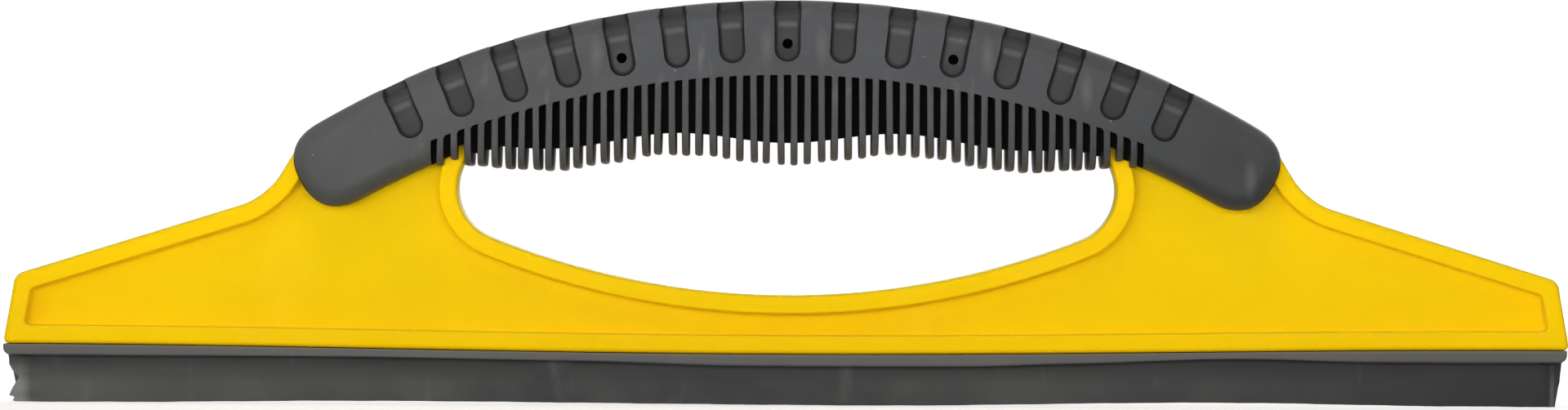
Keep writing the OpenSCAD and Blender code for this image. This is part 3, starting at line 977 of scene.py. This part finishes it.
def scuffs_effect():
    """Drawn-out pale rubs."""
    tree, given, out = effect("pale scuffs", "Amount")
    drawn = add_node(tree, "ShaderNodeMapping", {"Rotation": (0, 0.2, 0), "Scale": (1, 1, 0.4)})
    noise = placed(tree, given, "ShaderNodeTexNoise", {"Detail": 5, "Roughness": 0.6, "Distortion": 0.4})
    spread = add_node(tree, "ShaderNodeMapRange", {"From Min": 0.6, "From Max": 0.78})
    tree.links.new(given.outputs["Vector"], drawn.inputs["Vector"])
    tree.links.new(drawn.outputs["Vector"], noise.inputs["Vector"])
    tree.links.new(noise.outputs["Fac"], spread.inputs["Value"])
    tree.links.new(spread.outputs["Result"], out.inputs["Amount"])
    return tree


def specks_effect():
    """A few pale specks of dust."""
    tree, given, out = effect("dust specks", "Amount")
    cells = placed(tree, given, "ShaderNodeTexVoronoi")
    dot = add_node(tree, "ShaderNodeMapRange", {"From Min": 0.09, "From Max": 0.04})
    few = add_node(tree, "ShaderNodeMath", {1: 0.9}, operation="GREATER_THAN")
    both = add_node(tree, "ShaderNodeMath", operation="MULTIPLY")
    tone = add_node(tree, "ShaderNodeSeparateColor")
    tree.links.new(cells.outputs["Distance"], dot.inputs["Value"])
    tree.links.new(cells.outputs["Color"], tone.inputs["Color"])
    tree.links.new(tone.outputs["Red"], few.inputs[0])
    tree.links.new(dot.outputs["Result"], both.inputs[0])
    tree.links.new(few.outputs[0], both.inputs[1])
    tree.links.new(both.outputs[0], out.inputs["Amount"])
    return tree


def grain_effect():
    """The mould's fine texture."""
    tree, given, out = effect("fine grain", "Height")
    noise = placed(tree, given, "ShaderNodeTexNoise", {"Detail": 2, "Roughness": 0.5})
    tree.links.new(noise.outputs["Fac"], out.inputs["Height"])
    return tree


class Finish:
    """A material whose colour, roughness and bump are built up from the shared effects."""

    def __init__(self, name, specular):
        self.material = bpy.data.materials.new(name)
        self.material.use_nodes = True
        self.tree = self.material.node_tree
        self.shader = self.tree.nodes["Principled BSDF"]
        self.shader.inputs["Specular IOR Level"].default_value = specular
        self.place = self.tree.nodes.new("ShaderNodeTexCoord")
        self.colour = None

    def link(self, a, b):
        self.tree.links.new(a, b)

    def effect(self, group, scale):
        used = add_node(self.tree, "ShaderNodeGroup", node_tree=group)
        used.inputs["Scale"].default_value = scale
        self.link(self.place.outputs["Object"], used.inputs["Vector"])
        return used.outputs[0]

    def layer(self, name):
        """What a layer of the mesh says."""
        return add_node(self.tree, "ShaderNodeAttribute", attribute_name=name).outputs["Fac"]

    def along(self, axis):
        """A point's place along one axis."""
        split = add_node(self.tree, "ShaderNodeSeparateXYZ")
        self.link(self.place.outputs["Object"], split.inputs[0])
        return split.outputs[axis]

    def between(self, amount, low, high):
        spread = add_node(self.tree, "ShaderNodeMapRange", {"To Min": low, "To Max": high})
        self.link(amount, spread.inputs["Value"])
        return spread.outputs["Result"]

    def ramp(self, value, start, end, most):
        """Grows from 0 to most as a value goes from start to end."""
        limits = {"From Min": start, "From Max": end, "To Max": most}
        grown = add_node(self.tree, "ShaderNodeMapRange", limits)
        self.link(value, grown.inputs["Value"])
        return grown.outputs["Result"]

    def marks(self, group, scale, most):
        """Grows from 0 to most with an effect."""
        return self.between(self.effect(group, scale), 0, most)

    def spot(self, x, z, most):
        """Grows from 0 to most towards a place on the face, over a reach that is larger in height."""
        off = add_node(self.tree, "ShaderNodeVectorMath", {1: (-x, 0, -z)}, operation="ADD")
        drawn = add_node(self.tree, "ShaderNodeVectorMath", {1: (1, 0, 0.33)}, operation="MULTIPLY")
        away = add_node(self.tree, "ShaderNodeVectorMath", operation="LENGTH")
        self.link(self.place.outputs["Object"], off.inputs[0])
        self.link(off.outputs[0], drawn.inputs[0])
        self.link(drawn.outputs[0], away.inputs[0])
        return self.ramp(away.outputs["Value"], SPOT_REACH, 0, most)

    def colours(self, amount, first, second):
        """Mixes two colours, each plain or from another node."""
        mix = add_node(self.tree, "ShaderNodeMix", data_type="RGBA")
        self.link(amount, mix.inputs["Factor"])
        for socket, colour in ((mix.inputs[6], first), (mix.inputs[7], second)):
            if isinstance(colour, tuple):
                socket.default_value = (*colour, 1)
            else:
                self.link(colour, socket)
        return mix.outputs[2]

    def tint(self, amount, colour):
        """Lays a colour over the rest, by an amount."""
        self.colour = self.colours(amount, self.colour, colour)

    def surface(self, roughness, grain, strength):
        """Gives the material its colour, its roughness, and a grain of some scale and strength."""
        bump = add_node(self.tree, "ShaderNodeBump", {"Strength": strength, "Distance": GRAIN_DEPTH})
        self.link(self.effect(GRAIN, grain), bump.inputs["Height"])
        self.link(self.colour, self.shader.inputs["Base Color"])
        self.link(roughness, self.shader.inputs["Roughness"])
        self.link(bump.outputs["Normal"], self.shader.inputs["Normal"])
        return self.material


def yellow_plastic():
    finish = Finish("yellow plastic", specular=0.04)
    blotches = finish.effect(BLOTCHES, scale=22)
    # Painted shade: rim and web are one plastic, and the recessed web is painted a little darker
    rim = finish.colours(blotches, (0.93, 0.585, 0.0), (0.97, 0.615, 0.001))
    web = finish.colours(blotches, (0.86, 0.568, 0.0), (0.9, 0.598, 0.001))
    finish.colour = finish.colours(finish.layer("painted_web_shade"), rim, web)
    finish.tint(finish.marks(SCUFFS, scale=60, most=0.3), (0.98, 0.65, 0.02))
    # Painted light on the recess walls and painted highlight on edges that face up
    finish.tint(finish.ramp(finish.layer("painted_light"), 0, 1, most=0.9), (1.0, 0.77, 0.03))
    # Painted shade on the rim where it lies among the fins
    finish.tint(finish.layer("painted_fin_shade"), (0.07, 0.048, 0.004))
    return finish.surface(finish.between(blotches, 0.5, 0.62), grain=900, strength=0.12)


def grip_rubber():
    finish = Finish("grip rubber", specular=0.2)
    blotches = finish.effect(BLOTCHES, scale=70)
    finish.colour = finish.colours(blotches, (0.038, 0.0395, 0.042), (0.054, 0.0555, 0.058))
    finish.tint(finish.marks(SCUFFS, scale=260, most=0.5), (0.15, 0.15, 0.145))
    finish.tint(finish.marks(SPECKS, scale=420, most=0.8), (0.5, 0.5, 0.48))
    finish.tint(finish.marks(BLOTCHES, scale=230, most=0.3), (0.027, 0.028, 0.03))
    # Paler towards the left end and darker towards the right end, and a few spots are pale
    across = finish.along("X")
    finish.tint(finish.ramp(across, -0.03, -0.08, most=0.4), (0.075, 0.077, 0.068))
    finish.tint(finish.ramp(across, 0.03, 0.085, most=0.85), (0.024, 0.025, 0.026))
    for x, z in PALE_SPOTS:
        finish.tint(finish.spot(x, z, most=0.4), (0.13, 0.13, 0.126))
    # Painted shade in pockets and on fins' sides, painted highlight on bends and top faces, painted light
    # from below
    finish.tint(finish.layer("shade"), (0.01, 0.01, 0.011))
    finish.tint(finish.ramp(finish.layer("painted_light"), 0, 1, most=0.58), (0.13, 0.13, 0.13))
    finish.tint(finish.ramp(finish.layer("lit_below"), 0.6, 1, most=0.6), (0.095, 0.08, 0.065))
    return finish.surface(finish.between(blotches, 0.46, 0.6), grain=1400, strength=0.18)


def painted_shade_rubber():
    """The same rubber at the back of the slots and in the holes, painted near black and dull as painted
    shade.
    """
    finish = Finish("painted shade rubber", specular=0.03)
    blotches = finish.effect(BLOTCHES, scale=70)
    finish.colour = finish.colours(blotches, (0.003, 0.003, 0.003), (0.007, 0.007, 0.006))
    return finish.surface(finish.between(blotches, 0.7, 0.85), grain=1400, strength=0.18)


def strip_rubber():
    finish = Finish("strip rubber", specular=0.25)
    blotches = finish.effect(BLOTCHES, scale=40)
    finish.colour = finish.colours(blotches, (0.066, 0.066, 0.065), (0.092, 0.092, 0.089))
    finish.tint(finish.marks(SPECKS, scale=300, most=0.5), (0.35, 0.35, 0.33))
    # Painted reflection of the yellow frame on the strip's upper part
    finish.tint(finish.ramp(finish.layer("painted_frame_reflection"), 0.7, 1, most=0.75), (0.17, 0.115, 0.045))
    return finish.surface(finish.between(blotches, 0.45, 0.55), grain=1400, strength=0.15)


def lip_rubber():
    finish = Finish("lip rubber", specular=0.14)
    blotches = finish.effect(BLOTCHES, scale=35)
    finish.colour = finish.colours(blotches, (0.036, 0.037, 0.037), (0.074, 0.074, 0.072))
    # Darker to the right, with a painted highlight before the drafted end and painted shade on the end
    # itself
    across = finish.along("X")
    finish.tint(finish.ramp(across, 0.06, 0.13, most=0.7), (0.022, 0.022, 0.023))
    finish.tint(finish.ramp(across, 0.147, 0.1474, most=0.6), (0.15, 0.15, 0.15))
    finish.tint(finish.ramp(across, 0.1479, 0.1482, most=1), (0.045, 0.045, 0.045))
    # Paler to the left, a painted highlight on the torn end's curl, and the strip's painted shadow along the
    # top
    finish.tint(finish.ramp(across, -0.05, -0.12, most=0.45), (0.115, 0.115, 0.111))
    finish.tint(finish.ramp(across, -0.1455, -0.1475, most=0.85), (0.24, 0.236, 0.228))
    finish.tint(finish.ramp(finish.along("Z"), 0.004, 0.0078, most=0.8), (0.017, 0.017, 0.017))
    finish.tint(finish.marks(SCUFFS, scale=130, most=0.35), (0.15, 0.15, 0.145))
    finish.tint(finish.marks(SPECKS, scale=350, most=0.6), (0.4, 0.4, 0.38))
    return finish.surface(finish.between(blotches, 0.4, 0.52), grain=700, strength=0.12)


BLOTCHES = blotches_effect()
SCUFFS = scuffs_effect()
SPECKS = specks_effect()
GRAIN = grain_effect()


# The stage, in metres and watts

FLOOR_SIZE = 3
FLOOR_TONE = 0.85
# How the floor's glow grows with the distance from the object
FLOOR_GLOW = {"From Min": 0.6, "From Max": 1.6, "To Min": 0.62, "To Max": 0.86}
WORLD_LIGHT = 0.19
MIDDLE = (0, 0, 0.04)
# Name, place, width and height, and power of the lamps that are aimed at the middle of the object
LAMPS = [("front", (-0.1, -1.6, 0.18), (0.9, 0.3), 12.7),
         ("left", (-1.0, -1.3, 0.32), (0.6, 0.5), 2.9),
         ("right", (1.0, -1.3, 0.32), (0.6, 0.5), 0.7),
         ("top", (-0.15, -0.75, 0.95), (0.5, 0.25), 1.1),
         ("rear", (0.4, 1.5, 0.6), (1.2, 0.9), 14)]
CAMERA_DISTANCE = 1.2
CAMERA_X = -0.00055
CAMERA_Z = 0.03862
CAMERA_ROLL = math.radians(-0.27)
VIEW_W = 0.30086
SENSOR_W = 36


def seen_rays(tree):
    """1 on the camera's rays and on those that glossy or clear surfaces send out, and 0 on the rest."""
    rays = add_node(tree, "ShaderNodeLightPath")
    either = add_node(tree, "ShaderNodeMath", operation="MAXIMUM")
    most = add_node(tree, "ShaderNodeMath", operation="MAXIMUM")
    tree.links.new(rays.outputs["Is Camera Ray"], either.inputs[0])
    tree.links.new(rays.outputs["Is Glossy Ray"], either.inputs[1])
    tree.links.new(either.outputs[0], most.inputs[0])
    tree.links.new(rays.outputs["Is Transmission Ray"], most.inputs[1])
    return most.outputs[0]


def pale_floor():
    """A matt floor that keeps shadows, with a glow that makes up for the lamps' weaker light far out."""
    material = bpy.data.materials.new("pale floor")
    material.use_nodes = True
    tree = material.node_tree
    tree.nodes.clear()
    out = add_node(tree, "ShaderNodeOutputMaterial")
    both = add_node(tree, "ShaderNodeAddShader")
    matt = add_node(tree, "ShaderNodeBsdfDiffuse", {"Color": (FLOOR_TONE, FLOOR_TONE, FLOOR_TONE, 1)})
    glow = add_node(tree, "ShaderNodeEmission")
    place = add_node(tree, "ShaderNodeTexCoord")
    away = add_node(tree, "ShaderNodeVectorMath", operation="LENGTH")
    lack = add_node(tree, "ShaderNodeMapRange", FLOOR_GLOW)
    strength = add_node(tree, "ShaderNodeMath", operation="MULTIPLY")
    tree.links.new(place.outputs["Object"], away.inputs[0])
    tree.links.new(away.outputs["Value"], lack.inputs["Value"])
    tree.links.new(lack.outputs["Result"], strength.inputs[0])
    tree.links.new(seen_rays(tree), strength.inputs[1])
    tree.links.new(strength.outputs[0], glow.inputs["Strength"])
    tree.links.new(matt.outputs[0], both.inputs[0])
    tree.links.new(glow.outputs[0], both.inputs[1])
    tree.links.new(both.outputs[0], out.inputs["Surface"])
    return material


def make_floor():
    bm = bmesh.new()
    bmesh.ops.create_grid(bm, x_segments=1, y_segments=1, size=FLOOR_SIZE)
    mesh = to_mesh(bm, "floor")
    bm.free()
    mesh.materials.append(pale_floor())
    floor = bpy.data.objects.new("floor", mesh)
    bpy.context.scene.collection.objects.link(floor)


def make_world():
    """White where it is seen, and a weak plain light elsewhere."""
    world = bpy.data.worlds.new("studio")
    bpy.context.scene.world = world
    world.use_nodes = True
    tree = world.node_tree
    tree.nodes.clear()
    out = add_node(tree, "ShaderNodeOutputWorld")
    seen = add_node(tree, "ShaderNodeBackground", {"Color": (1, 1, 1, 1)})
    light = add_node(tree, "ShaderNodeBackground", {"Color": (1, 1, 1, 1), "Strength": WORLD_LIGHT})
    mix = add_node(tree, "ShaderNodeMixShader")
    tree.links.new(seen_rays(tree), mix.inputs["Fac"])
    tree.links.new(light.outputs[0], mix.inputs[1])
    tree.links.new(seen.outputs[0], mix.inputs[2])
    tree.links.new(mix.outputs[0], out.inputs["Surface"])


def add_softbox(name, place, aim, size, power, spread=180):
    light = bpy.data.lights.new(name, "AREA")
    light.shape = "RECTANGLE"
    light.size, light.size_y = size
    light.spread = math.radians(spread)
    light.energy = power
    obj = bpy.data.objects.new(name, light)
    obj.location = place
    obj.rotation_euler = (Vector(aim) - Vector(place)).to_track_quat("-Z", "Y").to_euler()
    bpy.context.scene.collection.objects.link(obj)


def add_lamps():
    for name, place, size, power in LAMPS:
        add_softbox(name, place, MIDDLE, size, power)
    # Lights the floor in front, which throws it up under the grip
    add_softbox("floor", (0, -0.42, 0.5), (0, -0.5, 0), (0.7, 0.2), 6, spread=70)


def add_camera():
    camera = bpy.data.cameras.new("camera")
    camera.sensor_width = SENSOR_W
    camera.lens = SENSOR_W * (CAMERA_DISTANCE - RIM_DEPTH / 2 * MM) / VIEW_W
    obj = bpy.data.objects.new("camera", camera)
    obj.location = (CAMERA_X, -CAMERA_DISTANCE, CAMERA_Z)
    obj.rotation_euler = (math.radians(90), CAMERA_ROLL, 0)
    bpy.context.scene.collection.objects.link(obj)
    bpy.context.scene.camera = obj


bpy.context.scene.view_settings.view_transform = "Standard"
make_frame(yellow_plastic())
make_grip(grip_rubber(), painted_shade_rubber())
make_base(strip_rubber())
make_lip(lip_rubber())
make_floor()
make_world()
add_lamps()
add_camera()
